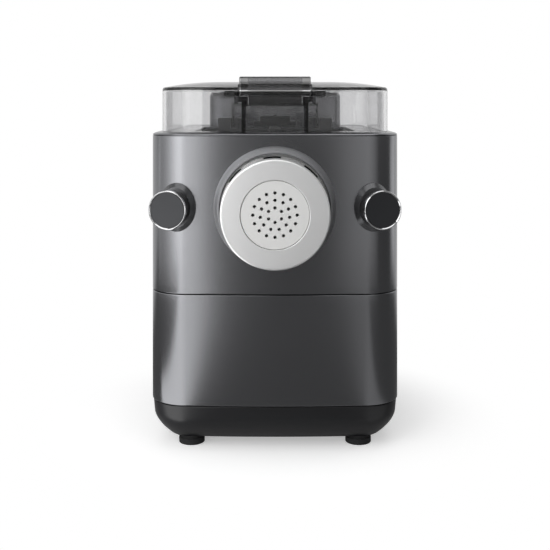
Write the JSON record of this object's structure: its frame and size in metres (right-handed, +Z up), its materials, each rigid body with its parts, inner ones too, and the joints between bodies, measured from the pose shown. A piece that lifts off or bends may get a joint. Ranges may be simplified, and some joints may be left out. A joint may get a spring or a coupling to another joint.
{
  "type": "electric pasta maker",
  "caption": "Countertop pasta maker with a clear hinged lid, a mixing chamber, a front nozzle with a shaping disc, round knobs and a pull-out drawer.",
  "frame": {"origin": "middle of the footprint's box, on the surface that the feet stand on", "axes": "+Z up, the nozzle faces -Y, +X to the right seen from the front"},
  "size_m": [0.2384, 0.36, 0.3547],
  "materials": {
    "satin_shell": "satin dark grey",
    "dark_plastic": "satin",
    "gloss_panel": "gloss",
    "clear_lid": "smoky clear",
    "silver_metal": "satin",
    "chrome_trim": "polished",
    "white_disc": "satin",
    "grey_plastic": "satin",
    "steel": "turned",
    "rubber": "matt",
    "board": "lacquered"
  },
  "bodies": {
    "housing": {"base_tray": "dark_plastic", "front_left_foot": "rubber", "front_right_foot": "rubber", "back_left_foot": "rubber", "back_right_foot": "rubber", "drawer_shelf": "grey_plastic", "left_rail": "steel", "right_rail": "steel", "main_housing": "satin_shell", "mid_frame": "grey_plastic", "top_deck": "satin_shell", "console_shell": "satin_shell", "console_panel": "gloss_panel", "display_window": "gloss_panel", "display_board": "board", "lid_hinge_pin": "steel", "left_catch": "dark_plastic", "right_catch": "dark_plastic", "interlock_block": "dark_plastic", "interlock_switch": "dark_plastic", "mixing_chamber": "grey_plastic", "chamber_seal": "rubber", "motor_case": "steel", "bulkhead": "grey_plastic", "shaft_bearing": "steel", "gearbox_case": "dark_plastic", "control_board": "board", "power_inlet": "dark_plastic"},
    "front_cover": {"front_panel": "satin_shell", "left_knob_collar": "dark_plastic", "right_knob_collar": "dark_plastic", "extrusion_tube": "steel", "shaping_disc": "white_disc"},
    "nut": {"retaining_nut": "silver_metal"},
    "left_knob": {"left_knob": "dark_plastic", "left_knob_ring": "chrome_trim", "left_knob_face": "dark_plastic"},
    "right_knob": {"right_knob": "dark_plastic", "right_knob_ring": "chrome_trim", "right_knob_face": "dark_plastic"},
    "drawer": {"drawer_front": "satin_shell", "drawer_tray": "grey_plastic"},
    "lid": {"lid": "clear_lid", "latch_pin": "dark_plastic"},
    "latch": {"lid_latch": "clear_lid"},
    "plunger": {"interlock_plunger": "white_disc"},
    "mixer": {"mixing_paddle": "grey_plastic", "extrusion_auger": "steel", "drive_shaft": "steel", "output_gear": "steel"},
    "idler": {"idler_gear": "steel"},
    "rotor": {"motor_rotor": "steel", "cooling_fan": "dark_plastic"},
    "power_key": {"power_key": "grey_plastic"},
    "start_key": {"start_key": "silver_metal"},
    "menu_key": {"menu_key": "grey_plastic"},
    "minus_key": {"minus_key": "grey_plastic"},
    "plus_key": {"plus_key": "grey_plastic"}
  },
  "joints": [
    {"name": "front_panel_slide", "type": "slide", "parent": "housing", "child": "front_cover", "axis": [0, -1, 0], "range_m": [0, 0.08]},
    {"name": "nut_turn", "type": "hinge", "parent": "front_cover", "child": "nut", "pos_m": [0, -0.155, 0.2315], "axis": [0, -1, 0], "range_deg": [0, 45]},
    {"name": "left_knob_turn", "type": "hinge", "parent": "front_cover", "child": "left_knob", "pos_m": [-0.09484, -0.12489, 0.2315], "axis": [-0.2419, -0.9703, 0], "range_deg": [0, 90]},
    {"name": "right_knob_turn", "type": "hinge", "parent": "front_cover", "child": "right_knob", "pos_m": [0.09484, -0.12489, 0.2315], "axis": [0.2419, -0.9703, 0], "range_deg": [-90, 0]},
    {"name": "drawer_slide", "type": "slide", "parent": "housing", "child": "drawer", "axis": [0, -1, 0], "range_m": [0, 0.12]},
    {"name": "lid_hinge", "type": "hinge", "parent": "housing", "child": "lid", "pos_m": [0, 0.099, 0.341], "axis": [-1, 0, 0], "range_deg": [0, 90]},
    {"name": "latch_hinge", "type": "hinge", "parent": "lid", "child": "latch", "pos_m": [0, -0.103, 0.339], "axis": [-1, 0, 0], "range_deg": [0, 10], "stiffness_Nm_per_rad": 0.2, "springref_deg": -20.05},
    {"name": "plunger_slide", "type": "slide", "parent": "housing", "child": "plunger", "axis": [0, 0, 1], "range_m": [-0.0015, 0], "stiffness_N_per_m": 200, "springref_m": 0.001},
    {"name": "mixer_spin", "type": "hinge", "parent": "housing", "child": "mixer", "pos_m": [0, 0, 0.2315], "axis": [0, 1, 0], "continuous": true},
    {"name": "idler_spin", "type": "hinge", "parent": "housing", "child": "idler", "pos_m": [0, 0.09, 0.1715], "axis": [0, 1, 0], "continuous": true},
    {"name": "rotor_spin", "type": "hinge", "parent": "housing", "child": "rotor", "pos_m": [0, 0.12, 0.13025], "axis": [0, 1, 0], "continuous": true},
    {"name": "power_key_press", "type": "slide", "parent": "housing", "child": "power_key", "axis": [0, 0.147, -0.9891], "range_m": [0, 0.0015], "stiffness_N_per_m": 300, "springref_m": -0.001},
    {"name": "start_key_press", "type": "slide", "parent": "housing", "child": "start_key", "axis": [0, 0.147, -0.9891], "range_m": [0, 0.0015], "stiffness_N_per_m": 300, "springref_m": -0.001},
    {"name": "menu_key_press", "type": "slide", "parent": "housing", "child": "menu_key", "axis": [0, 0.147, -0.9891], "range_m": [0, 0.0015], "stiffness_N_per_m": 300, "springref_m": -0.001},
    {"name": "minus_key_press", "type": "slide", "parent": "housing", "child": "minus_key", "axis": [0, 0.147, -0.9891], "range_m": [0, 0.0015], "stiffness_N_per_m": 300, "springref_m": -0.001},
    {"name": "plus_key_press", "type": "slide", "parent": "housing", "child": "plus_key", "axis": [0, 0.147, -0.9891], "range_m": [0, 0.0015], "stiffness_N_per_m": 300, "springref_m": -0.001}
  ],
  "couplings": [
    {"joint": "idler_spin", "follows": "mixer_spin", "ratio": -4},
    {"joint": "rotor_spin", "follows": "mixer_spin", "ratio": 16}
  ]
}
